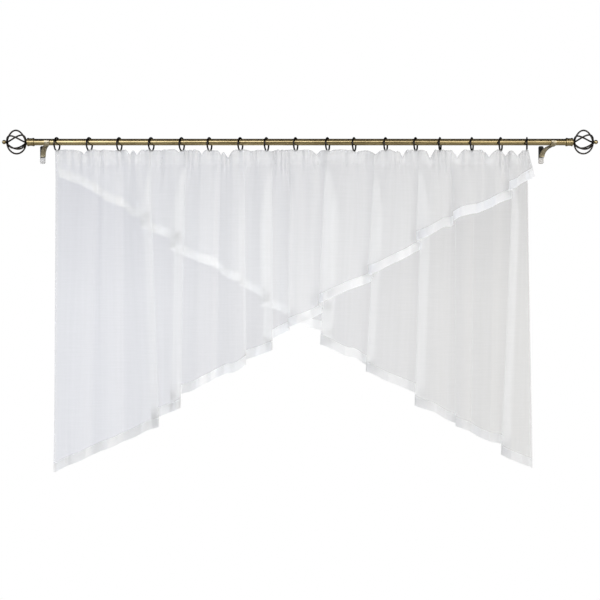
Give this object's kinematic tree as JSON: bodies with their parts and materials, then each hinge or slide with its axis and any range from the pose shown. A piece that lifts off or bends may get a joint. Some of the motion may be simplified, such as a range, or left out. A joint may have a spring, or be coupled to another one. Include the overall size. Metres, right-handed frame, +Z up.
{
  "type": "sheer cafe curtain and curtain rod",
  "caption": "Sheer crossover cafe curtain of gathered voile with slanted satin-edged hems, hung by rings from a brass rod with twisted wire finials and wall brackets.",
  "frame": {"origin": "middle of the left wall plate's back face, on the wall", "axes": "+X along the rod to the right, +Y into the wall, +Z up"},
  "size_m": [1.7284, 0.0891, 0.9935],
  "materials": {
    "voile": "sheer white voile, plain weave",
    "satin_ribbon": "white satin with a soft gloss",
    "heading_tape": "thin woven gathering tape",
    "antique_brass": "dark antique brass, satin gloss",
    "dark_wire": "dark bronze with worn light edges",
    "ring_metal": "black bronze, satin gloss",
    "bracket_metal": "dark antique brass"
  },
  "bodies": {
    "root": {"front_panel": "voile", "back_panel": "voile", "front_ribbon": "satin_ribbon", "back_ribbon": "satin_ribbon", "heading_tape": "heading_tape", "rod": "antique_brass", "left_finial_collar": "antique_brass", "right_finial_collar": "antique_brass", "left_finial_ball": "antique_brass", "right_finial_ball": "antique_brass", "left_finial_cage": "dark_wire", "right_finial_cage": "dark_wire", "left_wall_plate": "bracket_metal", "right_wall_plate": "bracket_metal", "left_bracket_arm": "bracket_metal", "right_bracket_arm": "bracket_metal", "ring_01": "ring_metal", "ring_02": "ring_metal", "ring_03": "ring_metal", "ring_04": "ring_metal", "ring_05": "ring_metal", "ring_06": "ring_metal", "ring_07": "ring_metal", "ring_08": "ring_metal", "ring_09": "ring_metal", "ring_10": "ring_metal", "ring_11": "ring_metal", "ring_12": "ring_metal", "ring_13": "ring_metal", "ring_14": "ring_metal", "ring_15": "ring_metal", "ring_16": "ring_metal", "ring_17": "ring_metal"}
  },
  "joints": []
}
